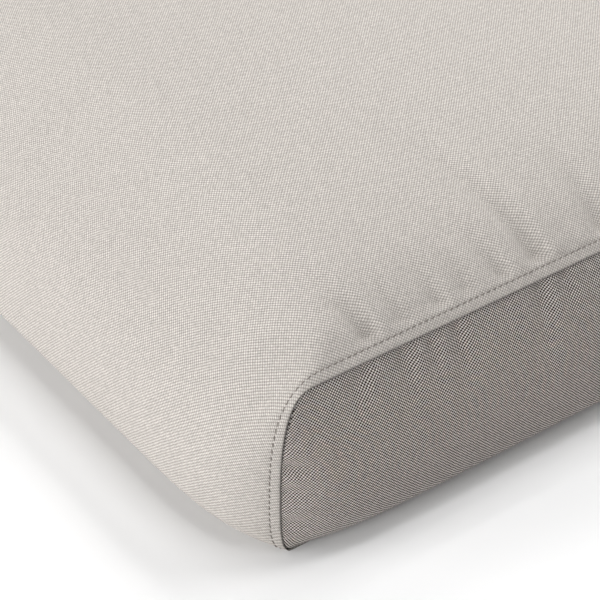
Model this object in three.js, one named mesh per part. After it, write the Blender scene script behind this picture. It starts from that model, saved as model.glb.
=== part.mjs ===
// A boxed chair cushion, lying on its underside. One wrap panel goes over the top, round the front,
// the underside and the back, and a side panel closes each end. The solids are the filled cushion in
// its wrap panel, and the two bulging side panels.
//
// Millimetres. X runs from side panel to side panel, -Y is the front and +Z is up. The origin is at
// the middle of the flat underside.

import * as THREE from 'three';

// The cut sizes
const seamSpan = 470; // between the planes of the two side seams
const seamDepth = 470; // length of a side panel, front seam to back seam
const sideHeight = 80; // height of a side panel

// The filled form
const frontSwell = 22; // how far the front and back rolls swell past the side panels' ends
const topSwell = 18; // how far the top swells above its side seams
const swellReach = 17; // distance from a side seam over which the wrap swells out
const crown = 18; // further rise to the middle of the top
const sideBulge = 18; // how far a side panel bulges out of its seam

// The topstitched band beside each side seam
const bandWidth = 2.8; // side seam to topstitching, seen from above: the cloth between slopes up by as much
const bandHeight = 0.5; // how far the turned edge stands proud
const creaseDepth = 0.5; // how far the topstitching pulls the cloth in
const lipDepth = 1; // how far the turned edge rolls in at the seam

// The side panels
const clothThickness = 2;
const pieceGap = 0.3;
const panelSetBack = 1.5; // how far the panel's sewn edge lies behind the seam plane
const panelInset = lipDepth + pieceGap; // how far the panel's edge lies inside the seam's outline
const panelAxisHeight = 24; // the height at which its bulge is full
const bulgePowerAbove = 2.2; // 2 is an even arch, and more is flatter with a steeper edge
const bulgePowerBelow = 3.2;
const bulgeReach = 14; // distance from a panel's end over which its bulge grows

// The outline of a side seam, and that of the swollen wrap well away from it
const seamOutline = {
  halfDepth: seamDepth / 2, // the middle to the foremost point
  widestHeight: 23, // height of the foremost point
  height: sideHeight,
  footLength: 8, // length of the lower roll
  footFullness: 2.2, // 2 is an ellipse, and more is squarer
  shoulderLength: 17.5, // length of the upper roll
  shoulderFullness: 2.85,
};
const swollenOutline = {
  halfDepth: seamDepth / 2 + frontSwell,
  widestHeight: 26,
  height: sideHeight + topSwell,
  footLength: 34,
  footFullness: 2.2,
  shoulderLength: 78,
  shoulderFullness: 2,
};

// How finely each half of an outline is stepped, from the underside's middle to the top's
const undersideSteps = 8;
const footSteps = 6;
const shoulderSteps = 15;
const topSteps = 11;

// How finely the wrap is stepped from its band to the middle, and a side panel from its edge to the
// axis that its rings close on, which stops short of its ends
const wrapStations = [7, 11, 16, 23, 33, 47, 66, 92, 124, 160, 197];
const panelRings = [0.95, 0.87, 0.76, 0.6, 0.4, 0.2, 0.05];
const panelAxisInset = 50;

const mix = (a, b, share) => a + (b - a) * share;

// A point on a rounded quarter, given the angle at which its face points up: 0 at the foremost point
// and a right angle at the crest. Outlines stepped by that angle blend without cutting corners.
function rollPoint(faceAngle, length, rise, fullness) {
  const steepness = (Math.tan(faceAngle) * (rise / length) ** fullness) ** (1 / (fullness - 1));
  const angle = Math.atan(steepness);
  const across = Math.cos(angle) / length;
  const along = Math.sin(angle) / rise;
  const radius = (across ** fullness + along ** fullness) ** (-1 / fullness);
  return { forward: radius * Math.cos(angle), up: radius * Math.sin(angle) };
}

// The front half of an outline, from the middle of the underside to the middle of the top. topShare
// says how far a point belongs to the top, which the crown lifts.
function frontHalf(shape) {
  const points = [];
  const footStart = shape.halfDepth - shape.footLength;
  for (let i = 0; i < undersideSteps; i += 1) {
    points.push({ y: -footStart * i / undersideSteps, z: 0, topShare: 0 });
  }
  for (let i = 0; i < footSteps; i += 1) {
    const angle = Math.PI / 2 * (1 - i / footSteps);
    const roll = rollPoint(angle, shape.footLength, shape.widestHeight, shape.footFullness);
    const z = i === 0 ? 0 : shape.widestHeight - roll.up;
    points.push({ y: -footStart - roll.forward, z, topShare: 0 });
  }
  const shoulderStart = shape.halfDepth - shape.shoulderLength;
  const shoulderRise = shape.height - shape.widestHeight;
  for (let i = 0; i < shoulderSteps; i += 1) {
    const angle = Math.PI / 2 * i / shoulderSteps;
    const roll = rollPoint(angle, shape.shoulderLength, shoulderRise, shape.shoulderFullness);
    const y = -shoulderStart - roll.forward;
    points.push({ y, z: shape.widestHeight + roll.up, topShare: Math.sin(angle) });
  }
  for (let i = 0; i <= topSteps; i += 1) {
    points.push({ y: -shoulderStart * (1 - i / topSteps), z: shape.height, topShare: 1 });
  }
  return points;
}

// The whole outline: the front half, and its mirror image as the back
function wholeOutline(shape) {
  const front = frontHalf(shape);
  const back = front.slice(1, -1).reverse();
  return front.concat(back.map((point) => ({ ...point, y: -point.y })));
}

// The direction that points out of an outline at each of its points
function outwardNormals(outline) {
  return outline.map((point, i) => {
    const before = outline[(i + outline.length - 1) % outline.length];
    const after = outline[(i + 1) % outline.length];
    const y = before.z - after.z;
    const z = after.y - before.y;
    const length = Math.hypot(y, z);
    return { y: y / length, z: z / length };
  });
}

const seam = wholeOutline(seamOutline);
const swollen = wholeOutline(swollenOutline);
const seamNormals = outwardNormals(seam);

// The wrap's outline at a distance in from the side seam, with the topstitched band's relief added.
// The underside stays flat.
function wrapRing(x, proud) {
  const inward = seamSpan / 2 - Math.abs(x);
  const swell = 1 - Math.exp(-inward / swellReach);
  const crownAcross = 1 - (x / (seamSpan / 2)) ** 2;
  return seam.map((point, i) => {
    const y = mix(point.y, swollen[i].y, swell);
    const z = mix(point.z, swollen[i].z, swell);
    const halfDepth = mix(seamOutline.halfDepth, swollenOutline.halfDepth, swell);
    const crownAlong = Math.max(0, 1 - (y / halfDepth) ** 2);
    const lift = crown * crownAcross * crownAlong * point.topShare;
    const normal = seamNormals[i];
    const relief = proud * (1 - Math.max(0, -normal.z));
    return new THREE.Vector3(x, y + normal.y * relief, z + lift + normal.z * relief);
  });
}

// The side seam's outline, drawn in evenly
function insetSeam(inset) {
  return seam.map((point, i) => ({
    y: point.y - seamNormals[i].y * inset,
    z: point.z - seamNormals[i].z * inset,
  }));
}

const recessEdge = insetSeam(lipDepth);
const panelEdge = insetSeam(panelInset);

// How far a side panel's face bulges at a place on it, and how steeply along Y and Z
function bulgeAt(y, z) {
  const above = z > panelAxisHeight;
  const edgeHeight = above ? sideHeight - panelInset : panelInset;
  const power = above ? bulgePowerAbove : bulgePowerBelow;
  const span = edgeHeight - panelAxisHeight;
  const toEdge = (z - panelAxisHeight) / span;
  const rise = 1 - toEdge ** power;
  const riseSlope = -power * toEdge ** (power - 1) / span;
  const fade = Math.exp((Math.abs(y) - seamDepth / 2 + panelInset) / bulgeReach);
  return {
    depth: sideBulge * rise * (1 - fade),
    slope: sideBulge * Math.hypot(riseSlope * (1 - fade), rise * fade / bulgeReach),
  };
}

// One ring of a side panel's bulge: share 1 is its sewn edge, and 0 its long axis. behind is how far
// the ring lies behind the panel's face, square to the cloth.
function bulgeRing(edge, share, behind) {
  const axisReach = seamDepth / 2 - panelAxisInset;
  return edge.map((point) => {
    const axisY = Math.max(-axisReach, Math.min(axisReach, point.y));
    const y = mix(axisY, point.y, share);
    const z = mix(panelAxisHeight, point.z, share);
    const bulge = bulgeAt(y, z);
    const x = seamSpan / 2 - panelSetBack + bulge.depth - behind * Math.hypot(1, bulge.slope);
    return new THREE.Vector3(x, y, z);
  });
}

// A closed body lofted through rings, its first and last ring filled. Each four-sided patch is split
// along its shorter diagonal.
function loft(rings) {
  const count = rings[0].length;
  const points = rings.flat();
  const faces = [];
  for (let r = 0; r + 1 < rings.length; r += 1) {
    for (let i = 0; i < count; i += 1) {
      const next = (i + 1) % count;
      const a = r * count + i;
      const b = r * count + next;
      const c = (r + 1) * count + next;
      const d = (r + 1) * count + i;
      if (points[a].distanceTo(points[c]) < points[b].distanceTo(points[d])) {
        faces.push(a, c, b, a, d, c);
      } else {
        faces.push(a, d, b, b, d, c);
      }
    }
  }
  const flat = (ring) => ring.map((point) => new THREE.Vector2(point.y, point.z));
  const last = (rings.length - 1) * count;
  THREE.ShapeUtils.triangulateShape(flat(rings[0]), []).forEach(([a, b, c]) => faces.push(a, c, b));
  THREE.ShapeUtils.triangulateShape(flat(rings.at(-1)), []).forEach(([a, b, c]) => {
    faces.push(last + a, last + b, last + c);
  });
  const geometry = new THREE.BufferGeometry().setFromPoints(points);
  geometry.setIndex(faces);
  geometry.computeVertexNormals();
  return geometry;
}

// The same ring at the other end of the cushion
const mirrored = (ring) => ring.map((point) => new THREE.Vector3(-point.x, point.y, point.z));

// Half of the cushion's body, from the filling behind the right side panel to just short of the
// middle: the filling's bulge, the recess that the panel's edge sits in, the turned edge and its
// topstitched band, and the wrap
function bodyHalf() {
  const behind = clothThickness + pieceGap;
  const filling = [...panelRings].reverse().map((share) => bulgeRing(panelEdge, share, behind));
  const recess = bulgeRing(recessEdge, 1, behind + pieceGap);
  const lip = recessEdge.map(({ y, z }) => new THREE.Vector3(seamSpan / 2 - lipDepth, y, z));
  const relief = [
    { inward: 0, proud: -lipDepth / 2 },
    { inward: 0.4, proud: bandHeight / 3 },
    { inward: 1, proud: bandHeight },
    { inward: bandWidth - 0.7, proud: bandHeight },
    { inward: bandWidth, proud: -creaseDepth },
    { inward: bandWidth + 1.2, proud: 0 },
  ];
  const band = relief.map(({ inward, proud }) => wrapRing(seamSpan / 2 - inward, proud));
  const wrap = wrapStations.map((inward) => wrapRing(seamSpan / 2 - inward, 0));
  return [...filling, recess, lip, ...band, ...wrap];
}

function cushionBody() {
  const right = bodyHalf();
  const left = right.map(mirrored);
  return loft([...left, wrapRing(0, 0), ...right.reverse()]);
}

function sidePanel(side) {
  const shares = [1, ...panelRings];
  const inner = shares.map((share) => bulgeRing(panelEdge, share, clothThickness)).reverse();
  const outer = shares.map((share) => bulgeRing(panelEdge, share, 0));
  const rings = [...inner, ...outer];
  return loft(side > 0 ? rings : rings.map(mirrored).reverse());
}

const wrapCloth = new THREE.MeshStandardMaterial({ color: 0xcfc7c0, roughness: 0.95, metalness: 0 });
const panelCloth = new THREE.MeshStandardMaterial({ color: 0xc9c0b9, roughness: 0.95, metalness: 0 });

function piece(name, geometry, material) {
  const mesh = new THREE.Mesh(geometry, material);
  mesh.name = name;
  return mesh;
}

const cushion = new THREE.Group();
cushion.add(
  piece('cushion_body', cushionBody(), wrapCloth),
  piece('side_panel_right', sidePanel(1), panelCloth),
  piece('side_panel_left', sidePanel(-1), panelCloth.clone()),
);

export default cushion;
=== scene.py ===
# A boxed chair cushion in pale plain-weave cloth, lying on a white studio floor. One wrap panel goes over
# the top, round the front, the underside and the back. A side panel is set into each end, and the wrap's
# turned edge is topstitched beside that seam. Metres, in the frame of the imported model.

import math

import bpy
import numpy as np
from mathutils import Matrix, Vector


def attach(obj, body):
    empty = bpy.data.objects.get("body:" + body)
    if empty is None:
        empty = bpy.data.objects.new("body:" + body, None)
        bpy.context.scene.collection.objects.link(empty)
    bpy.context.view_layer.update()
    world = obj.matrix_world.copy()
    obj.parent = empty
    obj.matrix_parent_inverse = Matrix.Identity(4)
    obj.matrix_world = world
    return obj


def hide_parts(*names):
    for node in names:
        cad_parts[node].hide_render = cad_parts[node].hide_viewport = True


MM = 0.001

# The cut sizes
SEAM_SPAN = 470 * MM  # between the planes of the two side seams
SEAM_DEPTH = 470 * MM  # length of a side panel
SIDE_HEIGHT = 80 * MM

# The filled form
FRONT_SWELL = 22 * MM  # how far the front and back rolls swell past the side panels' ends
FRONT_REACH = 17 * MM  # distance from a side seam over which they do
TOP_SWELL = 23 * MM
TOP_REACH = 30 * MM
PUFF_SHARE = 0.3  # share of the top's swell that rises steeply beside the seam
PUFF_REACH = 7 * MM
CROWN = 13 * MM
SIDE_BULGE = 17.1 * MM

# The topstitched band beside each side seam, by distance in from the seam's plane
BAND_WIDTH = 2.8 * MM
BAND_HEIGHT = 0.3 * MM
CREASE_DEPTH = 0.2 * MM
CREASE_WIDTH = 0.5 * MM
LIP_DEPTH = 0.4 * MM
UNDERSIDE_LIFT = 0.5 * MM  # room for the thread under the cushion
LIFT_REACH = 8 * MM

# The side panels
CLOTH_THICKNESS = 1.6 * MM
PANEL_SET_BACK = 0.6 * MM
PANEL_INSET = 0.5 * MM
PANEL_AXIS = 24 * MM  # the height at which a panel's bulge is full
POWER_ABOVE = 2.2
POWER_BELOW = 3.2
BULGE_REACH = 14 * MM
EDGE_DIP = 0.3 * MM  # how much further a panel dips where it rolls into its seam
EDGE_ROLL = 0.35 * MM  # distance over which it does

# The outline of a side seam, and that of the swollen wrap well away from it
SEAM_OUTLINE = {
    "half_depth": SEAM_DEPTH / 2,
    "widest": 23 * MM,
    "height": SIDE_HEIGHT,
    "foot_length": 5.5 * MM,
    "foot_fullness": 2.4,
    "shoulder_length": 17.5 * MM,
    "shoulder_fullness": 2.85,
}
SWOLLEN_OUTLINE = {
    "half_depth": SEAM_DEPTH / 2 + FRONT_SWELL,
    "widest": 26 * MM,
    "height": SIDE_HEIGHT + TOP_SWELL,
    "foot_length": 34 * MM,
    "foot_fullness": 2.2,
    "shoulder_length": 78 * MM,
    "shoulder_fullness": 2,
}

# The camera: the near bottom corner of the right side seam lies this far off, at this pixel
PHOTO_SIZE = 600
FOCAL_PIXELS = 2100
SENSOR_MM = 36
CAMERA_AZIMUTH = 53.7
CAMERA_ELEVATION = 37.3
CORNER_DISTANCE = 0.840
CORNER_PIXEL = (280.5, 556.0)


def make_camera():
    azimuth = math.radians(CAMERA_AZIMUTH)
    elevation = math.radians(CAMERA_ELEVATION)
    back = Vector((
        math.sin(azimuth) * math.cos(elevation),
        -math.cos(azimuth) * math.cos(elevation),
        math.sin(elevation),
    ))
    right = Vector((math.cos(azimuth), math.sin(azimuth), 0))
    up = back.cross(right)
    pixel = CORNER_DISTANCE / FOCAL_PIXELS
    corner = Vector((SEAM_SPAN / 2, -SEAM_DEPTH / 2, 0))
    place = corner + back * CORNER_DISTANCE
    place -= right * (CORNER_PIXEL[0] - PHOTO_SIZE / 2) * pixel
    place += up * (CORNER_PIXEL[1] - PHOTO_SIZE / 2) * pixel
    data = bpy.data.cameras.new("camera")
    data.sensor_width = SENSOR_MM
    data.lens = FOCAL_PIXELS * SENSOR_MM / PHOTO_SIZE
    data.clip_start = 0.05
    data.clip_end = 20
    camera = bpy.data.objects.new("camera", data)
    camera.location = place
    camera.rotation_mode = "QUATERNION"
    camera.rotation_quaternion = (-back).to_track_quat("-Z", "Y")
    bpy.context.scene.collection.objects.link(camera)
    bpy.context.scene.camera = camera


# Outlines, from the middle of the underside to the middle of the top

OUTLINE_STEPS = {"underside": 24, "foot": 36, "shoulder": 90, "top": 60}


def roll(face_angle, length, rise, fullness):
    """Points on a rounded quarter, given the angles at which its face points up."""
    steepness = (np.tan(face_angle) * (rise / length) ** fullness) ** (1 / (fullness - 1))
    angle = np.arctan(steepness)
    across = np.cos(angle) / length
    along = np.sin(angle) / rise
    radius = (across**fullness + along**fullness) ** (-1 / fullness)
    return radius * np.cos(angle), radius * np.sin(angle)


def front_half(shape):
    """y, z and the share by which the crown lifts each point, along the front half of an outline."""
    steps = OUTLINE_STEPS
    foot_start = shape["half_depth"] - shape["foot_length"]
    under = np.arange(steps["underside"]) / steps["underside"]
    angle = np.pi / 2 * (1 - np.arange(steps["foot"]) / steps["foot"])
    forward, up = roll(angle, shape["foot_length"], shape["widest"], shape["foot_fullness"])
    foot_y = -foot_start - forward
    foot_z = shape["widest"] - up
    shoulder_start = shape["half_depth"] - shape["shoulder_length"]
    rise = shape["height"] - shape["widest"]
    angle = np.pi / 2 * np.arange(steps["shoulder"]) / steps["shoulder"]
    forward, up = roll(angle, shape["shoulder_length"], rise, shape["shoulder_fullness"])
    top = 1 - np.arange(steps["top"] + 1) / steps["top"]
    y = np.concatenate([-foot_start * under, foot_y, -shoulder_start - forward, -shoulder_start * top])
    z = np.concatenate([0 * under, foot_z, shape["widest"] + up, shape["height"] + 0 * top])
    share = np.concatenate([0 * under, 0 * foot_z, np.sin(angle), 1 + 0 * top])
    return y, np.maximum(z, 0), share


def outward(y, z):
    """The direction out of the front half of an outline at each of its points."""
    along_y, along_z = np.gradient(y), np.gradient(z)
    length = np.hypot(along_y, along_z)
    normal_y, normal_z = -along_z / length, along_y / length
    normal_y[[0, -1]] = 0
    normal_z[[0, -1]] = (-1, 1)
    return normal_y, normal_z


SEAM_Y, SEAM_Z, TOP_SHARE = front_half(SEAM_OUTLINE)
SWOLLEN_Y, SWOLLEN_Z, _ = front_half(SWOLLEN_OUTLINE)
NORMAL_Y, NORMAL_Z = outward(SEAM_Y, SEAM_Z)


def wrap_half(inward, proud):
    """The front half of the wrap's outline at a distance in from the side seam: y, z."""
    swell = 1 - math.exp(-inward / FRONT_REACH)
    puff, broad = 1 - math.exp(-inward / PUFF_REACH), 1 - math.exp(-inward / TOP_REACH)
    top_swell = PUFF_SHARE * puff + (1 - PUFF_SHARE) * broad
    across = 1 - (1 - inward / (SEAM_SPAN / 2)) ** 2
    y = SEAM_Y + (SWOLLEN_Y - SEAM_Y) * swell
    z = SEAM_Z + (SWOLLEN_Z - SEAM_Z) * top_swell
    half_depth = SEAM_OUTLINE["half_depth"] + FRONT_SWELL * swell
    along = np.maximum(0, 1 - (y / half_depth) ** 2)
    under = np.maximum(0, -NORMAL_Z)
    relief = proud * (1 - under)
    lift = UNDERSIDE_LIFT * under * math.exp(-inward / LIFT_REACH)
    return y + NORMAL_Y * relief, z + CROWN * across * along * TOP_SHARE + NORMAL_Z * relief + lift


def spaced_evenly(y, z, count):
    """A half outline stepped evenly along itself: y, z and the distance from the middle of the top."""
    run = np.concatenate([[0], np.cumsum(np.hypot(np.diff(y), np.diff(z)))])
    at = np.linspace(0, run[-1], count + 1)
    return np.interp(at, run, y), np.interp(at, run, z), run[-1] - at


def ring_of(half_y, half_z, half_run):
    """The whole ring: the front half, and its mirror image as the back. The run is negative in front."""
    y = np.concatenate([half_y, -half_y[-2:0:-1]])
    z = np.concatenate([half_z, half_z[-2:0:-1]])
    run = np.concatenate([-half_run, half_run[-2::-1]])
    return y, z, run


def band_relief(inward):
    """How far the wrap stands proud of its smooth shape, from its turned edge to past its topstitching."""
    on_band = np.clip(inward / BAND_WIDTH, 0, 1)
    pillow = BAND_HEIGHT * (1 - np.abs(2 * on_band - 1) ** 3)
    crease = CREASE_DEPTH * math.exp(-(((inward - BAND_WIDTH) / CREASE_WIDTH) ** 2))
    return pillow - crease


# The wrap's mesh

HALF_COLUMNS = 300  # steps of the wrap from the middle of its underside to the middle of its top
FIRST_STEP = 0.3 * MM  # between rings of the wrap on its topstitched band
STEP_GROWTH = 0.12
WIDEST_STEP = 4.6 * MM
MIDDLE_GAP = 4 * MM  # most room between the last ring and the one in the middle

# The turned edge at the seam, from its fold to the recess behind the side panel: inward, proud
LIP = [(0.05 * MM, -0.05 * MM), (0.0, -0.15 * MM), (0.03 * MM, -0.3 * MM), (0.3 * MM, -LIP_DEPTH)]
RECESS = (5 * MM, -LIP_DEPTH)

# The filling's face behind a side panel: its rings as shares of the edge, and how far its axis stops short
FILLING_SHARES = (0.8, 0.5, 0.2, 0.02)
FILLING_END = 50 * MM


def wrap_stations():
    """Distances in from the side seam at which the wrap has a ring, close together by the seam."""
    stations = [0.0]
    while stations[-1] < SEAM_SPAN / 2 - MIDDLE_GAP:
        at = stations[-1]
        step = FIRST_STEP if at < 1.2 * BAND_WIDTH else min(WIDEST_STEP, FIRST_STEP + STEP_GROWTH * at)
        stations.append(at + step)
    return stations


def seam_ring(inward, proud):
    """A ring of the seam's own outline, moved in or out square to it."""
    y, z, run = spaced_evenly(SEAM_Y + NORMAL_Y * proud, SEAM_Z + NORMAL_Z * proud, HALF_COLUMNS)
    return inward, *ring_of(y, z, run)


def wrap_ring(inward):
    y, z = wrap_half(inward, band_relief(inward))
    return inward, *ring_of(*spaced_evenly(y, z, HALF_COLUMNS))


def filling_rings():
    """The filling's face behind a side panel, in rings from the recess to the panel's axis."""
    rings = []
    edge = seam_ring(0, -LIP_DEPTH)
    reach = SEAM_DEPTH / 2 - FILLING_END
    for share in FILLING_SHARES:
        axis_y = np.clip(edge[1], -reach, reach)
        y = axis_y + (edge[1] - axis_y) * share
        z = PANEL_AXIS + (edge[2] - PANEL_AXIS) * share
        inward = -bulge_at(y, z) + RECESS[0] + PANEL_SET_BACK
        rings.append((inward, y, z, edge[3]))
    return rings


def bulge_at(y, z):
    """How far a side panel's face bulges out."""
    above = z > PANEL_AXIS
    edge = np.where(above, SIDE_HEIGHT - PANEL_INSET, PANEL_INSET)
    power = np.where(above, POWER_ABOVE, POWER_BELOW)
    to_edge = np.clip((z - PANEL_AXIS) / (edge - PANEL_AXIS), 0, 1)
    fade = np.exp(np.minimum(0, (np.abs(y) - SEAM_DEPTH / 2 + PANEL_INSET) / BULGE_REACH))
    return SIDE_BULGE * (1 - to_edge**power) * (1 - fade)


# Folds and wrinkles

# Shallow folds about square to the seams. Those on the front half are as seen on the right side, and the
# others are guessed in the same manner. On the wrap a place is its distance in from the seam and back from
# the panel's front end, and on a panel its distance back and height. All in millimetres.
WRAP_FOLDS = [
    # start_in, start_back, end_in, end_back, depth, width
    (1, 49, 48, 37, 4.1, 5.2),
    (1, 136, 84, 124, 4.6, 6.0),
    (1, 170, 54, 176, 4.1, 5.5),
    (2, 117, 36, 107, 3.0, 4.6),
    (2, 84, 32, 79, 2.6, 4.6),
    (2, 98, 26, 96, 1.9, 3.8),
    (2, 66, 28, 59, 1.9, 3.8),
    (1, 224, 52, 229, 4.1, 5.5),
    (2, 279, 40, 271, 3.4, 5.0),
    (1, 322, 56, 331, 4.3, 5.5),
    (2, 371, 36, 366, 3.1, 5.0),
    (1, 418, 44, 428, 3.8, 5.0),
]
PANEL_FOLDS = [
    # start_back, start_height, end_back, end_height, depth, width
    (41, 79, 20, 52, 1.8, 4.8),
    (60, 79, 54, 30, 2.0, 5.2),
    (73, 78, 68, 36, 1.3, 4.4),
    (87, 79, 82, 40, 2.0, 4.8),
    (112, 79, 110, 56, 1.0, 4.4),
    (131, 79, 125, 36, 2.2, 5.0),
    (144, 79, 140, 50, 1.3, 4.4),
    (186, 79, 188, 48, 1.7, 5.0),
    (219, 79, 224, 42, 2.0, 5.2),
    (262, 79, 260, 54, 1.5, 4.8),
    (297, 79, 303, 43, 2.0, 5.2),
    (341, 79, 343, 50, 1.6, 4.8),
    (377, 79, 384, 41, 2.0, 5.2),
    (423, 79, 436, 54, 1.7, 5.0),
    (1, 47, 18, 45, 1.7, 4.2),
    (1, 34, 15, 35, 1.3, 3.8),
    (1, 17, 17, 20, 1.7, 4.4),
    (468, 52, 455, 51, 1.5, 4.2),
    (468, 27, 456, 29, 1.5, 4.4),
]
RIDGE_PLACE = 1.6  # how many widths a fold's ridge lies behind its valley
RIDGE_SHARE = 0.45  # the ridge's height as a share of the valley's depth
FOLD_START = 2 * MM  # how far before its first place a fold sets in
FOLD_FADE = 1.1  # the power with which a fold dies out along its length
FOLD_OPENING = (0.75, 0.5)  # a fold's share of its width at its start, and how much is added by its end


def folded(folds, first, second):
    """How far a set of folds draws the cloth in, at places given by their two distances. The cloth rises in a
    ridge beside each valley, which is its back side where the fold starts at the top seam."""
    depth_here = 0 * first
    for first_0, second_0, first_1, second_1, depth, width in np.array(folds) * MM:
        run_1, run_2 = first_1 - first_0, second_1 - second_0
        length = math.hypot(run_1, run_2)
        along = ((first - first_0) * run_1 + (second - second_0) * run_2) / length
        off = ((first - first_0) * run_2 - (second - second_0) * run_1) / length
        share = np.clip(along / length, 0, 1)
        fade = (1 - share) ** FOLD_FADE * np.clip(1 + along / FOLD_START, 0, 1)
        opening = width * (FOLD_OPENING[0] + FOLD_OPENING[1] * share)
        valley = np.exp(-((off / opening) ** 2))
        ridge = np.exp(-((off / opening + RIDGE_PLACE) ** 2))
        depth_here = depth_here + depth * fade * (valley - RIDGE_SHARE * ridge)
    return depth_here


COARSE_STEP = 5 * MM
COARSE_ROWS = round(SEAM_SPAN / COARSE_STEP)
COARSE_COLUMNS = 112  # half way round the wrap
TOP_START = 52  # the coarse column at which the top begins, by the front roll
START_NOISE = 0.15 * MM  # unevenness of the coarse cloth before it is filled
FILL_FRAMES = 20
FINE_REACH = 1.2  # coarse steps over which the simulated wrinkles are evened out
BROAD_REACH = 3.6  # coarse steps past which a swelling counts as part of the filled form
WRINKLE_LIMIT = 0.9 * MM
GATHER_FAR = 0.4  # strength of the gathers far from a seam
GATHER_NEAR = 1.8  # what is added to it beside a seam
GATHER_REACH = 18 * MM


def spline_terms(at, count):
    """The four entries of a table beside each fractional place, each with its share in a smooth curve."""
    base = np.clip(np.floor(at).astype(int), 0, count - 2)
    f = at - base
    shares = (
        (1 - f) ** 3 / 6,
        (3 * f**3 - 6 * f**2 + 4) / 6,
        (1 + 3 * f + 3 * f**2 - 3 * f**3) / 6,
        f**3 / 6,
    )
    return [(np.clip(base + step, 0, count - 1), share) for step, share in zip((-1, 0, 1, 2), shares)]


def read_smoothly(table, row, column):
    """A table's smooth value at fractional rows and columns."""
    total = 0 * row
    for r, row_share in spline_terms(row, table.shape[0]):
        for c, column_share in spline_terms(column, table.shape[1]):
            total = total + table[r, c] * row_share * column_share
    return total


def blurred(table, reach):
    """A table blurred over a reach given in steps."""
    for _ in range(2):
        steps = np.arange(len(table))
        weights = np.exp(-(((steps[:, None] - steps) / reach) ** 2))
        table = (weights / weights.sum(1, keepdims=True) @ table).T
    return table


def normals_of(grid):
    """The direction out of a grid of points, whose rows and columns turn so that it points outwards."""
    out = np.cross(np.gradient(grid, axis=0), np.gradient(grid, axis=1))
    return out / np.maximum(np.linalg.norm(out, axis=2, keepdims=True), 1e-12)


def fill_sheet(name, grid, held):
    """Fills a coarse sheet of cloth by simulation while its held points stay. Gives how far each point moves
    outwards, less the broad swelling, so that only gathers and wrinkles are left."""
    out = normals_of(grid)
    draw = np.random.default_rng(11)
    start = grid + out * draw.normal(0, START_NOISE, grid.shape[:2])[..., None] * ~held[..., None]
    rows, columns = grid.shape[:2]
    index = np.arange(rows * columns).reshape(rows, columns)
    faces = np.stack([index[:-1, :-1], index[1:, :-1], index[1:, 1:], index[:-1, 1:]], -1).reshape(-1, 4)
    mesh = bpy.data.meshes.new(name)
    mesh.from_pydata(start.reshape(-1, 3).tolist(), [], faces.tolist())
    sheet = bpy.data.objects.new(name, mesh)
    bpy.context.scene.collection.objects.link(sheet)
    group = sheet.vertex_groups.new(name="held")
    group.add(index[held].tolist(), 1.0, "REPLACE")
    cloth = sheet.modifiers.new("fill", "CLOTH")
    cloth.settings.vertex_group_mass = "held"
    cloth.settings.quality = 6
    cloth.settings.mass = 0.02
    cloth.settings.tension_stiffness = 12
    cloth.settings.compression_stiffness = 12
    cloth.settings.shear_stiffness = 4
    cloth.settings.bending_stiffness = 0.02
    cloth.settings.use_pressure = True
    cloth.settings.uniform_pressure_force = 4
    cloth.settings.shrink_min = -0.02
    cloth.settings.effector_weights.gravity = 0
    cloth.collision_settings.use_collision = False
    for step in range(1, FILL_FRAMES + 1):
        bpy.context.scene.frame_set(step)
    filled = sheet.evaluated_get(bpy.context.evaluated_depsgraph_get())
    moved = np.empty(3 * rows * columns)
    filled.data.vertices.foreach_get("co", moved)
    bpy.data.objects.remove(sheet)
    bpy.context.scene.frame_set(1)
    rise = ((moved.reshape(grid.shape) - grid) * out).sum(2)
    wrinkles = blurred(rise, FINE_REACH) - blurred(rise, BROAD_REACH)
    return WRINKLE_LIMIT * np.tanh(wrinkles / WRINKLE_LIMIT) * ~held


def new_piece(name, points, faces, uvs, seam_shade=None, stitched=None):
    """A smooth mesh object. uvs holds one pair of distances along the threads for each face corner. The last
    two give for each point, from 0 to 1, the painted shade of lying deep in a seam, and how near it lies to
    the topstitching."""
    mesh = bpy.data.meshes.new(name)
    mesh.from_pydata(points.tolist(), [], faces)
    layer = mesh.uv_layers.new(name="threads")
    layer.uv.foreach_set("vector", np.asarray(uvs, np.float32).ravel())
    for attribute, values in (("seam_shade", seam_shade), ("stitched", stitched)):
        if values is not None:
            made = mesh.attributes.new(attribute, "FLOAT", "POINT")
            made.data.foreach_set("value", np.asarray(values, np.float32).ravel())
    mesh.polygons.foreach_set("use_smooth", np.ones(len(faces), bool))
    mesh.validate()
    piece = bpy.data.objects.new(name, mesh)
    bpy.context.scene.collection.objects.link(piece)
    return piece


def wrap_wrinkles():
    """The top's simulated gathers, in rows from the left seam to the right and columns from front to back."""
    x = np.linspace(-SEAM_SPAN / 2, SEAM_SPAN / 2, COARSE_ROWS + 1)
    grid = []
    for at in x:
        y, z, _ = ring_of(*spaced_evenly(*wrap_half(SEAM_SPAN / 2 - abs(at), 0), COARSE_COLUMNS))
        grid.append(np.stack([at + 0 * y, y, z], -1)[TOP_START:2 * COARSE_COLUMNS - TOP_START + 1])
    grid = np.array(grid)
    held = np.zeros(grid.shape[:2], bool)
    held[[0, -1]] = True
    held[:, [0, -1]] = True
    return fill_sheet("top_filling", grid, held)


def gathered(from_seam):
    """How strongly the cloth gathers at a distance from its seam."""
    return GATHER_FAR + GATHER_NEAR * np.exp(-from_seam / GATHER_REACH)


TOP_RAMP = 20 * MM  # height below the crest over which the top's gathers set in
SMOOTH_BAND = BAND_WIDTH + 0.5 * MM  # distance in from the seam that stays smooth
SMOOTH_RAMP = 2.5 * MM


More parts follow.
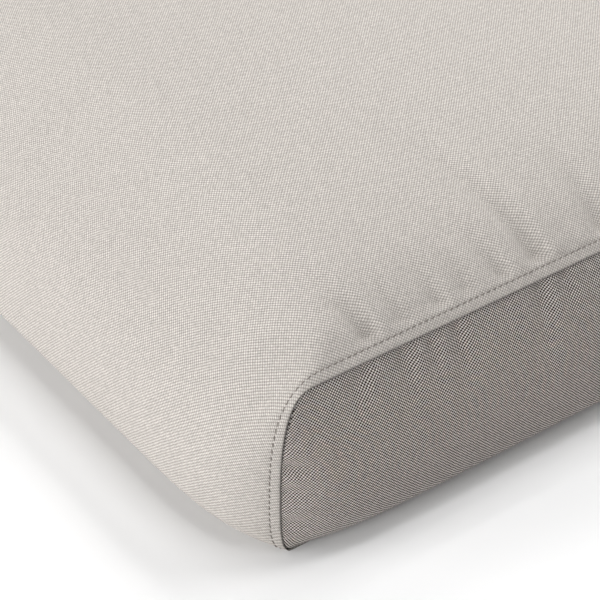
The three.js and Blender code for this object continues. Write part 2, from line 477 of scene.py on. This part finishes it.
def wrap_relief(points, on_wrap):
    """How far the wrap's rings of points stand out for its gathers and folds. on_wrap is 1 on the rings that
    show and 0 on the others."""
    x, y, z = points[:, :, 0], points[:, :, 1], points[:, :, 2]
    row = (x / SEAM_SPAN + 0.5) * COARSE_ROWS
    column = np.arange(points.shape[1]) * COARSE_COLUMNS / HALF_COLUMNS - TOP_START + 0 * x
    table = wrap_wrinkles()
    row, column = np.clip(row, 0, table.shape[0] - 1), np.clip(column, 0, table.shape[1] - 1)
    wrinkles = read_smoothly(table, row, column)
    inward = SEAM_SPAN / 2 - np.abs(x)
    back = SEAM_DEPTH / 2 + y * np.sign(x)
    on_top = np.clip((z - SIDE_HEIGHT + TOP_RAMP) / TOP_RAMP, 0, 1)
    folds = folded(WRAP_FOLDS, inward, back) * on_top
    ramp = np.clip((inward - SMOOTH_BAND) / SMOOTH_RAMP, 0, 1) * on_wrap[:, None]
    return (wrinkles * gathered(inward) * on_top - folds) * ramp


# Painted shade in the base colour: how dark the topstitching's crease, the turned edge and the hidden lip are
# painted, and the reach over which the edge's shade fades.
CREASE_SHADE = 0.06
EDGE_SHADE = 0.5
EDGE_SHADE_REACH = 0.2 * MM
LIP_SHADE = 0.7


def wrap_seam_shade(inward):
    """How much painted shade darkens a ring of the wrap, as a share, for lying deep in a seam or crease."""
    crease = CREASE_SHADE * math.exp(-(((inward - BAND_WIDTH) / CREASE_WIDTH) ** 2))
    return max(crease, EDGE_SHADE * math.exp(-inward / EDGE_SHADE_REACH))


def loft_wrap(name):
    """The whole wrap, closed behind both side panels."""
    hidden = [*reversed(filling_rings()), seam_ring(*RECESS), *(seam_ring(*at) for at in reversed(LIP))]
    stations = wrap_stations()
    half = hidden + [wrap_ring(at) for at in stations]
    middle = wrap_ring(SEAM_SPAN / 2)
    rings = [(-1, *ring) for ring in half] + [(-1, *middle)] + [(1, *ring) for ring in reversed(half)]
    # Painted shade for each ring: full on the hidden rings, less on the lip, then by depth in the seam and
    # crease.
    seam_shade = [1.0] * (len(hidden) - 1) + [LIP_SHADE] + [wrap_seam_shade(at) for at in stations]
    stitched = [0.0] * len(hidden) + [math.exp(-(((at - BAND_WIDTH) / STITCH_REACH) ** 2)) for at in stations]
    columns = 2 * HALF_COLUMNS
    points = np.array([
        np.stack([side * (SEAM_SPAN / 2 - inward) + 0 * y, y, z], -1) for side, inward, y, z, _ in rings
    ])
    on_wrap = np.array([0.0] * len(hidden) + [1.0] * (2 * len(stations) + 1) + [0.0] * len(hidden))
    closed = np.concatenate([points, points[:, :1]], 1)
    points = points + normals_of(points) * wrap_relief(points, on_wrap)[..., None]
    step = np.linalg.norm(np.diff(closed, axis=0), axis=2)
    across = np.concatenate([0 * step[:1], np.cumsum(step, 0)])
    across -= across[len(half)]
    run = np.array([ring[4] for ring in rings])
    uv = np.stack([across, run], -1)
    index = np.arange(len(rings) * columns).reshape(len(rings), columns)
    index = np.concatenate([index, index[:, :1]], 1)
    faces, uvs = [], []
    for r in range(len(rings) - 1):
        for c in range(columns):
            faces.append((index[r, c], index[r, c + 1], index[r + 1, c + 1], index[r + 1, c]))
            uvs += [uv[r, c], uv[r, c + 1], uv[r + 1, c + 1], uv[r + 1, c]]
    for r, order in ((0, -1), (len(rings) - 1, 1)):
        faces.append(tuple(index[r, :-1][::order]))
        uvs += list(uv[r, :-1][::order])
    both = [np.repeat(values + [0.0] + values[::-1], columns) for values in (seam_shade, stitched)]
    return new_piece(name, points.reshape(-1, 3), faces, uvs, *both)


# The side panels' meshes

PANEL_ROWS = 48
PANEL_COLUMNS = 300
PANEL_BEND = 1.25  # how strongly the columns close up towards a panel's ends
PANEL_STRIP = 3 * MM  # width of the strip beside a panel's edge, whose rings follow the edge
STRIP_RINGS = [0, 0.25 * MM, 0.5 * MM, 0.8 * MM, 1.2 * MM, 1.7 * MM, 2.3 * MM]
RELIEF_RAMP = 1.5 * MM  # distance from a panel's edge over which its gathers and folds set in
# Reach of the painted shade along a panel's edge, where it rolls into the seam.
PANEL_SHADE_REACH = 0.25 * MM
NUDGE = 0.05 * MM  # step over which a panel's slope is taken
STEEPEST = 1.2  # steepest slope that counts for the cloth's thickness


def panel_rim(inset):
    """The front edge of a panel from foot to crest, and the direction out of it: y, z, y, z."""
    foot = OUTLINE_STEPS["underside"]
    crest = len(SEAM_Y) - OUTLINE_STEPS["top"]
    y = (SEAM_Y - NORMAL_Y * inset)[foot:crest]
    z = (SEAM_Z - NORMAL_Z * inset)[foot:crest]
    run = np.concatenate([[0], np.cumsum(np.hypot(np.diff(y), np.diff(z)))])
    at = np.linspace(0, run[-1], PANEL_ROWS + 1)
    return [np.interp(at, run, values) for values in (y, z, NORMAL_Y[foot:crest], NORMAL_Z[foot:crest])]


def from_edge(y, z):
    """Distance of each place on a side panel from the panel's edge."""
    edge_y, edge_z = SEAM_Y - NORMAL_Y * PANEL_INSET, SEAM_Z - NORMAL_Z * PANEL_INSET
    front = -np.abs(np.asarray(y))[..., None]
    start = np.stack([edge_y[:-1], edge_z[:-1]], -1)
    step = np.stack([np.diff(edge_y), np.diff(edge_z)], -1)
    size = np.maximum((step**2).sum(-1), 1e-18)
    up = np.asarray(z)[..., None]
    along = (front - start[:, 0]) * step[:, 0] + (up - start[:, 1]) * step[:, 1]
    share = np.clip(along / size, 0, 1)
    off_y = front - start[:, 0] - share * step[:, 0]
    off_z = up - start[:, 1] - share * step[:, 1]
    return np.sqrt((off_y**2 + off_z**2).min(-1))


def panel_x(y, z):
    """How far out a side panel's face lies."""
    dip = EDGE_DIP * np.exp(-from_edge(y, z) / EDGE_ROLL)
    return SEAM_SPAN / 2 - PANEL_SET_BACK + bulge_at(y, z) - dip


def panel_wrinkles():
    """A side panel's simulated gathers, in rows from front to back and columns from foot to crest."""
    edge_y, edge_z, _, _ = panel_rim(PANEL_INSET)
    z = np.linspace(edge_z[0], edge_z[-1], round(SIDE_HEIGHT / COARSE_STEP) + 1)
    y = np.linspace(-1, 1, COARSE_ROWS + 1)[:, None] * np.interp(z, edge_z, -edge_y)
    z = z + 0 * y
    held = np.zeros(y.shape, bool)
    held[[0, -1]] = True
    held[:, [0, -1]] = True
    return fill_sheet("panel_filling", np.stack([panel_x(y, z), y, z], -1), held)


def panel_relief(y, z, side, wrinkles):
    """How far a side panel stands out for its gathers and folds."""
    edge_y, edge_z, _, _ = panel_rim(PANEL_INSET)
    row = (y * side / np.interp(z, edge_z, -edge_y) + 1) / 2 * (wrinkles.shape[0] - 1)
    column = (z - edge_z[0]) / (edge_z[-1] - edge_z[0]) * (wrinkles.shape[1] - 1)
    column = np.clip(column, 0, wrinkles.shape[1] - 1)
    gathers = read_smoothly(wrinkles, np.clip(row, 0, wrinkles.shape[0] - 1), column)
    folds = folded(PANEL_FOLDS, SEAM_DEPTH / 2 + y * side, z)
    gathers = gathers * gathered(SIDE_HEIGHT - z) / 2
    return (gathers - folds) * (1 - np.exp(-from_edge(y, z) / RELIEF_RAMP))


def panel_layout():
    """Places on a side panel: a grid of level rows, then the rings of the strip, the outermost first. Gives
    the grid's shape, its rim as pairs of row and column, the direction out of the rim as y and z, and every
    place as y and z."""
    edge_y, edge_z, out_y, out_z = panel_rim(PANEL_INSET + PANEL_STRIP)
    share = np.sin(np.linspace(-1, 1, PANEL_COLUMNS + 1) * PANEL_BEND) / math.sin(PANEL_BEND)
    y = -edge_y[:, None] * share[None, :]
    z = edge_z[:, None] + 0 * y
    rows, columns = y.shape
    rim = [(0, c) for c in range(columns)] + [(r, columns - 1) for r in range(1, rows)]
    rim += [(rows - 1, c) for c in range(columns - 2, -1, -1)] + [(r, 0) for r in range(rows - 2, 0, -1)]
    rim_y, rim_z = (np.array([values[at] for at in rim]) for values in (y, z))
    at_end = np.array([c in (0, columns - 1) for _, c in rim])
    rim_out_y = np.array([out_y[r] for r, _ in rim]) * at_end * np.where(rim_y < 0, 1, -1)
    rim_out_z = np.where(at_end, [out_z[r] for r, _ in rim], np.where([r == 0 for r, _ in rim], -1, 1))
    strip = PANEL_STRIP - np.array(STRIP_RINGS)[:, None]
    all_y = np.concatenate([y.ravel(), (rim_y + rim_out_y * strip).ravel()])
    all_z = np.concatenate([z.ravel(), (rim_z + rim_out_z * strip).ravel()])
    return y.shape, rim, rim_out_y, rim_out_z, all_y, all_z


def panel_threads(shape, rim, out_y, out_z, places, slope_z):
    """How far each place on a side panel lies along its threads, from the middle of the grid's top row."""
    rows, columns = shape
    count = rows * columns
    grid = places[:count].reshape(rows, columns, 3)
    step_y = np.linalg.norm(np.diff(grid, axis=1), axis=2)
    steep_z = np.sqrt(1 + slope_z[:count].reshape(rows, columns) ** 2)
    step_z = np.diff(grid[:, :, 2], axis=0) * (steep_z[1:] + steep_z[:-1]) / 2
    run_y = np.concatenate([0 * step_y[:, :1], np.cumsum(step_y, 1)], 1)
    run_y -= run_y[:, columns // 2, None]
    run_z = np.concatenate([0 * step_z[:1], np.cumsum(step_z, 0)])
    run_z -= run_z[-1]
    strip = places[count:].reshape(len(STRIP_RINGS), len(rim), 3)
    outwards = np.concatenate([[[grid[at] for at in rim]], strip[::-1]])
    run = np.cumsum(np.linalg.norm(np.diff(outwards, axis=0), axis=2), 0)[::-1]
    strip_y = np.array([run_y[at] for at in rim]) + out_y * run
    strip_z = np.array([run_z[at] for at in rim]) + out_z * run
    return np.stack([
        np.concatenate([run_y.ravel(), strip_y.ravel()]),
        np.concatenate([run_z.ravel(), strip_z.ravel()]),
    ], -1)


def panel_faces(shape, rim, side):
    """A side panel's faces: its front, its back and the rim between them. The back's points follow the
    front's."""
    rows, columns = shape
    index = np.arange(rows * columns).reshape(rows, columns)
    strip = rows * columns + np.arange(len(STRIP_RINGS) * len(rim)).reshape(len(STRIP_RINGS), len(rim))
    rings = np.concatenate([strip, [[index[at] for at in rim]]])
    rings = np.concatenate([rings, rings[:, :1]], 1)
    quads = [(index[r, c], index[r, c + 1], index[r + 1, c + 1], index[r + 1, c])
             for r in range(rows - 1) for c in range(columns - 1)]
    quads += [(rings[k, c], rings[k, c + 1], rings[k + 1, c + 1], rings[k + 1, c])
              for k in range(len(rings) - 1) for c in range(len(rim))]
    behind = index.size + strip.size
    edge = rings[0]
    faces = [quad[::side] for quad in quads]
    faces += [tuple(corner + behind for corner in quad[::-side]) for quad in quads]
    faces += [(a + behind, b + behind, b, a)[::side] for a, b in zip(edge[:-1], edge[1:])]
    return [tuple(int(corner) for corner in quad) for quad in faces]


def side_panel(name, side, wrinkles):
    """A side panel, two faces and a rim, on the side that side gives: 1 for right and -1 for left."""
    shape, rim, out_y, out_z, y, z = panel_layout()
    smooth_x = panel_x(y, z)
    x = smooth_x + panel_relief(y, z, side, wrinkles)
    slope_y = (panel_x(y + NUDGE, z) - panel_x(y - NUDGE, z)) / (2 * NUDGE)
    slope_z = (panel_x(y, z + NUDGE) - panel_x(y, z - NUDGE)) / (2 * NUDGE)
    slope_y, slope_z = np.clip(slope_y, -STEEPEST, STEEPEST), np.clip(slope_z, -STEEPEST, STEEPEST)
    steep = np.sqrt(1 + slope_y**2 + slope_z**2)
    face = np.stack([side * x, y, z], -1)
    back = face - np.stack([side / steep, 0 * steep, 0 * steep], -1) * CLOTH_THICKNESS
    uv = panel_threads(shape, rim, out_y, out_z, np.stack([side * smooth_x, y, z], -1), slope_z)
    faces = panel_faces(shape, rim, side)
    uvs = [uv[corner % len(face)] for quad in faces for corner in quad]
    # Painted shade along the panel's edge, where it rolls into the seam.
    seam_shade = np.exp(-((from_edge(y, z) / PANEL_SHADE_REACH) ** 2))
    points = np.concatenate([face, back])
    return new_piece(name, points, faces, uvs, np.tile(seam_shade, 2), np.zeros(len(points)))


# Topstitching

STITCH_PITCH = 3.2 * MM
STITCH_LENGTH = 2.5 * MM
STITCH_REACH = 1.3 * MM  # how far the cloth puckers beside the stitches
THREAD_RADIUS = 0.22 * MM
STITCH_SLANT = 0.22 * MM  # how far the ends of a stitch lie off its line
STITCH_DRIFT = 0.06 * MM  # how unevenly the needle goes in
STITCH_SPREAD = 0.04  # how unevenly long the stitches are, as a share
STITCH_SIDES = 6
STITCH_RINGS = 7
INNER_LINE = 1.5 * MM  # how far in lies the line that gives the cloth's slope by the stitches
TANGENT_STEP = 0.2 * MM
FLOOR_GAP = 0.03 * MM  # least height of the thread over the floor


def stitch_line(side):
    """The topstitching's line on the wrap: run from the middle of the top, place, and direction out of the
    cloth."""
    y, z = wrap_half(BAND_WIDTH, -CREASE_DEPTH)
    y_in, z_in = wrap_half(BAND_WIDTH + INNER_LINE, 0)
    ring_y, ring_z, run = ring_of(*spaced_evenly(y, z, HALF_COLUMNS))
    in_y, in_z, _ = ring_of(*spaced_evenly(y_in, z_in, HALF_COLUMNS))
    x = side * (SEAM_SPAN / 2 - BAND_WIDTH)
    place = np.stack([x + 0 * ring_y, ring_y, ring_z], -1)
    inner = np.stack([x - side * INNER_LINE + 0 * ring_y, in_y, in_z], -1)
    along = np.roll(place, -1, 0) - np.roll(place, 1, 0)
    out = np.cross(place - inner, along) * side
    out /= np.linalg.norm(out, axis=1, keepdims=True)
    return run, np.concatenate([place, place[:1]]), np.concatenate([out, out[:1]])


def topstitching(name, side):
    """A row of single stitches all round one seam, each an arc of thread that dips into the cloth."""
    run, place, out = stitch_line(side)
    draw = np.random.default_rng(7 + side)
    points, faces, uvs = [], [], []

    def at(distance, values):
        return np.array([np.interp(distance, run, values[:, k]) for k in range(3)])

    for n in range(math.ceil(run[0] / STITCH_PITCH), math.floor(run[-1] / STITCH_PITCH)):
        middle = (n + 0.5) * STITCH_PITCH + draw.normal(0, STITCH_DRIFT)
        length = STITCH_LENGTH * (1 + draw.normal(0, STITCH_SPREAD))
        base = len(points)
        for r in range(STITCH_RINGS):
            share = 2 * r / (STITCH_RINGS - 1) - 1
            here = middle + share * length / 2
            spot, up = at(here, place), at(here, out)
            forward = at(here + TANGENT_STEP, place) - at(here - TANGENT_STEP, place)
            forward /= np.linalg.norm(forward)
            across = np.cross(up, forward)
            lift = THREAD_RADIUS * (1.5 - 2.7 * abs(share) ** 3)
            radius = THREAD_RADIUS * math.sqrt(1 - 0.75 * share**2)
            spot += across * share * STITCH_SLANT
            for s in range(STITCH_SIDES):
                turn = 2 * math.pi * s / STITCH_SIDES
                points.append(spot + up * (lift + radius * math.sin(turn)) + across * radius * math.cos(turn))
        for r in range(STITCH_RINGS - 1):
            for s in range(STITCH_SIDES):
                t = (s + 1) % STITCH_SIDES
                a = base + r * STITCH_SIDES
                faces.append((a + s, a + t, a + STITCH_SIDES + t, a + STITCH_SIDES + s))
                uvs += [(s, r), (s + 1, r), (s + 1, r + 1), (s, r + 1)]
        ends = [base + s for s in range(STITCH_SIDES)]
        last = (STITCH_RINGS - 1) * STITCH_SIDES
        faces.append(tuple(reversed(ends)))
        faces.append(tuple(e + last for e in ends))
        uvs += [(0, 0)] * 2 * STITCH_SIDES
    points = np.array(points)
    points[:, 2] = np.maximum(points[:, 2], FLOOR_GAP)
    return new_piece(name, points, faces, np.array(uvs, float))


# Materials

# Two looks of the same weave. The side panels' copy paints shade into its colour: its warp lighter, its weft
# near black and its gaps much darker, for the shadows that grazing light casts between the threads. Colours
# are linear, and relief is the height that the threads shade with.
WRAP_WEAVE = {
    "pitch": 0.76 * MM,
    "warp_colour": (0.55, 0.517, 0.484, 1),
    "weft_colour": (0.305, 0.283, 0.262, 1),
    "relief": 0.05 * MM,
    "recess": 0.12,
    "shade": 0.2,
}
# Painted shade: the side panels' copy of the weave, with the shadows between its threads in its colour.
SIDE_WEAVE_PAINTED_SHADE = {
    "pitch": 0.71 * MM,
    "warp_colour": (0.727, 0.687, 0.655, 1),
    "weft_colour": (0.05, 0.029, 0.018, 1),
    "relief": 0.26 * MM,
    "recess": 0.6,
    "shade": 0.65,
}
THREAD_WOBBLE = 0.5  # how far the threads stray, in threads
THREAD_ROUNDNESS = 0.6
PUCKER = 1.8  # depth of the pull at a needle hole, in heights of the weave


class Nodes:
    """Adds shader nodes to a material, one call each."""

    def __init__(self, name):
        self.material = bpy.data.materials.new(name)
        self.material.use_nodes = True
        self.tree = self.material.node_tree
        self.shader = self.tree.nodes["Principled BSDF"]

    def link(self, value, socket):
        if isinstance(value, bpy.types.NodeSocket):
            self.tree.links.new(value, socket)
        else:
            socket.default_value = value

    def add(self, kind, inputs=None, **settings):
        node = self.tree.nodes.new(kind)
        for key, value in settings.items():
            setattr(node, key, value)
        for key, value in (inputs or {}).items():
            self.link(value, node.inputs[key])
        return node

    def math(self, operation, a, b=0.0, c=0.0):
        node = self.add("ShaderNodeMath", {0: a, 1: b, 2: c}, operation=operation)
        return node.outputs[0]

    def mix(self, factor, a, b):
        node = self.add("ShaderNodeMix", data_type="FLOAT")
        for value, socket in ((factor, node.inputs[0]), (a, node.inputs[2]), (b, node.inputs[3])):
            self.link(value, socket)
        return node.outputs[0]

    def mix_colour(self, factor, a, b, blend="MIX"):
        node = self.add("ShaderNodeMix", data_type="RGBA", blend_type=blend)
        for value, socket in ((factor, node.inputs[0]), (a, node.inputs[6]), (b, node.inputs[7])):
            self.link(value, socket)
        return node.outputs[2]


def weave_material(name, pitch, warp_colour, weft_colour, relief, recess, shade):
    """Plain weave: each thread goes over one and under the next, and the weft lies deeper by the share that
    recess gives. shade says how much darker the gaps between the threads are, as painted shade. The base
    colour also carries painted shade where the cloth lies deep in a seam or crease."""
    n = Nodes(name)
    threads = n.add("ShaderNodeUVMap", uv_map="threads").outputs[0]
    wobble = n.add("ShaderNodeTexNoise", {"Vector": threads, "Scale": 300.0, "Detail": 2.0})
    stray = n.add(
        "ShaderNodeVectorMath",
        {0: wobble.outputs["Color"], 1: (0.5, 0.5, 0.5)},
        operation="SUBTRACT",
    )
    scaled = n.add("ShaderNodeVectorMath", {0: threads, 1: (1 / pitch,) * 3}, operation="MULTIPLY")
    bent = n.add(
        "ShaderNodeVectorMath",
        {0: stray.outputs[0], 1: (THREAD_WOBBLE, THREAD_WOBBLE, 0), 2: scaled.outputs[0]},
        operation="MULTIPLY_ADD",
    )
    split = n.add("ShaderNodeSeparateXYZ", {0: bent.outputs[0]})
    u, v = split.outputs[0], split.outputs[1]
    warp, weft = n.math("FLOOR", u), n.math("FLOOR", v)
    over = n.math("FLOORED_MODULO", n.math("ADD", warp, weft), 2.0)
    arch_u = n.math("ABSOLUTE", n.math("SINE", n.math("MULTIPLY", u, math.pi)))
    arch_v = n.math("ABSOLUTE", n.math("SINE", n.math("MULTIPLY", v, math.pi)))
    round_u, round_v = (n.math("POWER", arch, THREAD_ROUNDNESS) for arch in (arch_u, arch_v))
    warp_up = n.math("MULTIPLY", round_u, n.math("MULTIPLY_ADD", arch_v, 0.5, 0.5))
    weft_up = n.math("MULTIPLY", round_v, n.math("MULTIPLY_ADD", arch_u, 0.5, 0.5))
    height = n.mix(over, warp_up, n.math("MULTIPLY", weft_up, 1 - recess))
    cell = n.add("ShaderNodeCombineXYZ", {0: warp, 1: weft}).outputs[0]
    speck = n.add("ShaderNodeTexWhiteNoise", {"Vector": cell}, noise_dimensions="2D").outputs[0]
    slub = n.add("ShaderNodeTexNoise", {"Vector": threads, "Scale": 420.0, "Detail": 3.0}).outputs["Fac"]
    colour = n.mix_colour(over, warp_colour, weft_colour)
    # Painted shade: the gaps between the threads are darker by the share that shade gives.
    light = n.math("MULTIPLY_ADD", height, shade, 1.12 - shade)
    light = n.math("MULTIPLY", light, n.math("MULTIPLY_ADD", speck, 0.2, 0.9))
    light = n.math("MULTIPLY", light, n.math("MULTIPLY_ADD", slub, 0.16, 0.92))
    # Painted shade: the colour is darker where the cloth lies deep in a seam or crease.
    seam_shade = n.add("ShaderNodeAttribute", attribute_name="seam_shade").outputs["Fac"]
    light = n.math("MULTIPLY", light, n.math("MULTIPLY_ADD", seam_shade, -0.6, 1.0))
    lit = n.add("ShaderNodeCombineXYZ", {0: light, 1: light, 2: light}).outputs[0]
    n.link(n.mix_colour(1.0, colour, lit, "MULTIPLY"), n.shader.inputs["Base Color"])
    run = n.add("ShaderNodeSeparateXYZ", {0: threads}).outputs[1]
    needle = n.math("COSINE", n.math("MULTIPLY", run, 2 * math.pi / STITCH_PITCH))
    stitched = n.add("ShaderNodeAttribute", attribute_name="stitched").outputs["Fac"]
    pucker = n.math("MULTIPLY", n.math("MULTIPLY", needle, stitched), -PUCKER)
    bump = n.add("ShaderNodeBump", {"Height": n.math("ADD", height, pucker), "Distance": relief})
    n.link(bump.outputs[0], n.shader.inputs["Normal"])
    n.shader.inputs["Roughness"].default_value = 0.9
    n.shader.inputs["Specular IOR Level"].default_value = 0.1
    n.shader.inputs["Sheen Weight"].default_value = 0.05
    n.shader.inputs["Sheen Roughness"].default_value = 0.5
    return n.material


def thread_material():
    n = Nodes("thread")
    turns = n.add("ShaderNodeUVMap", uv_map="threads").outputs[0]
    wave = n.add(
        "ShaderNodeTexWave",
        {"Vector": turns, "Scale": 0.6, "Distortion": 0.4},
        bands_direction="DIAGONAL",
    )
    tone = n.mix_colour(wave.outputs["Fac"], (0.15, 0.13, 0.115, 1), (0.26, 0.23, 0.205, 1))
    n.link(tone, n.shader.inputs["Base Color"])
    bump = n.add("ShaderNodeBump", {"Height": wave.outputs["Fac"], "Distance": 0.05 * MM})
    n.link(bump.outputs[0], n.shader.inputs["Normal"])
    n.shader.inputs["Roughness"].default_value = 0.75
    return n.material


def floor_material():
    n = Nodes("studio_floor")
    mottle = n.add("ShaderNodeTexNoise", {"Scale": 3.0, "Detail": 2.0}).outputs["Fac"]
    tone = n.mix_colour(mottle, (0.905, 0.905, 0.905, 1), (0.93, 0.93, 0.93, 1))
    n.link(tone, n.shader.inputs["Base Color"])
    n.shader.inputs["Roughness"].default_value = 0.8
    n.shader.inputs["Specular IOR Level"].default_value = 0.1
    return n.material


# Studio

FLOOR_HALF = 3


def make_floor():
    mesh = bpy.data.meshes.new("studio_floor")
    half = FLOOR_HALF
    corners = [(-half, -half, 0), (half, -half, 0), (half, half, 0), (-half, half, 0)]
    mesh.from_pydata(corners, [], [(0, 1, 2, 3)])
    floor = bpy.data.objects.new("studio_floor", mesh)
    floor.data.materials.append(floor_material())
    bpy.context.scene.collection.objects.link(floor)


# Soft boxes: azimuth as the camera's, elevation, watts, width, distance
LIGHTS = {
    "front_left": (-20, 12, 16.5, 0.9, 1.8),
    "front_low": (15, 12, 44.0, 1.8, 3.6),
    "front_right": (30, 25, 36.0, 1.8, 3.6),
    "right": (90, 55, 4.2, 0.9, 1.8),
    "back_left": (-135, 35, 102.0, 1.8, 3.6),
    "back_right": (150, 60, 7.2, 0.4, 1.8),
    "back_small": (-150, 65, 2.4, 0.12, 1.8),
    "back_low": (180, 55, 1.3, 0.12, 1.8),
    "top": (0, 90, 11.4, 0.9, 1.8),
}
WORLD_COLOUR = (0.9, 0.9, 0.9)  # what the camera sees past the floor. It casts no light.


def make_lights():
    for name, (azimuth, elevation, watts, width, distance) in LIGHTS.items():
        data = bpy.data.lights.new(name, "AREA")
        data.size = width
        data.energy = watts
        a, e = math.radians(azimuth), math.radians(elevation)
        away = Vector((math.sin(a) * math.cos(e), -math.cos(a) * math.cos(e), math.sin(e)))
        lamp = bpy.data.objects.new(name, data)
        lamp.location = away * distance
        lamp.rotation_mode = "QUATERNION"
        lamp.rotation_quaternion = away.to_track_quat("Z", "Y")
        bpy.context.scene.collection.objects.link(lamp)
    world = bpy.data.worlds.new("studio")
    world.use_nodes = True
    background = world.node_tree.nodes["Background"]
    background.inputs["Color"].default_value = (*WORLD_COLOUR, 1)
    background.inputs["Strength"].default_value = 1
    world.cycles_visibility.diffuse = False
    world.cycles_visibility.glossy = False
    world.cycles_visibility.transmission = False
    world.cycles_visibility.scatter = False
    bpy.context.scene.world = world
    bpy.context.scene.view_settings.view_transform = "Standard"


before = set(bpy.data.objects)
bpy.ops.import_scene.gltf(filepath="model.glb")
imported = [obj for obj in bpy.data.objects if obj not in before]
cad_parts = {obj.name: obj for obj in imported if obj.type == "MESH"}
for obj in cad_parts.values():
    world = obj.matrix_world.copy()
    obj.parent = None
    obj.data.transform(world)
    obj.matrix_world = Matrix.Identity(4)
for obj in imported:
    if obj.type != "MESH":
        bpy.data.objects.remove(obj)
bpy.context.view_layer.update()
make_camera()

wrap = loft_wrap("wrap_cushion")
wrap_cloth = weave_material("wrap_cloth", **WRAP_WEAVE)
wrap.data.materials.append(wrap_cloth)
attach(wrap, "root")
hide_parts("cushion_body")

side_cloth = weave_material("side_cloth", **SIDE_WEAVE_PAINTED_SHADE)
thread = thread_material()
gathers = panel_wrinkles()
for side, end in ((1, "right"), (-1, "left")):
    panel = side_panel(f"side_sheet_{end}", side, gathers)
    panel.data.materials.append(side_cloth)
    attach(panel, "root")
    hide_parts(f"side_panel_{end}")
    row = topstitching(f"topstitching_{end}", side)
    row.data.materials.append(thread)
    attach(row, "root")

make_floor()
make_lights()
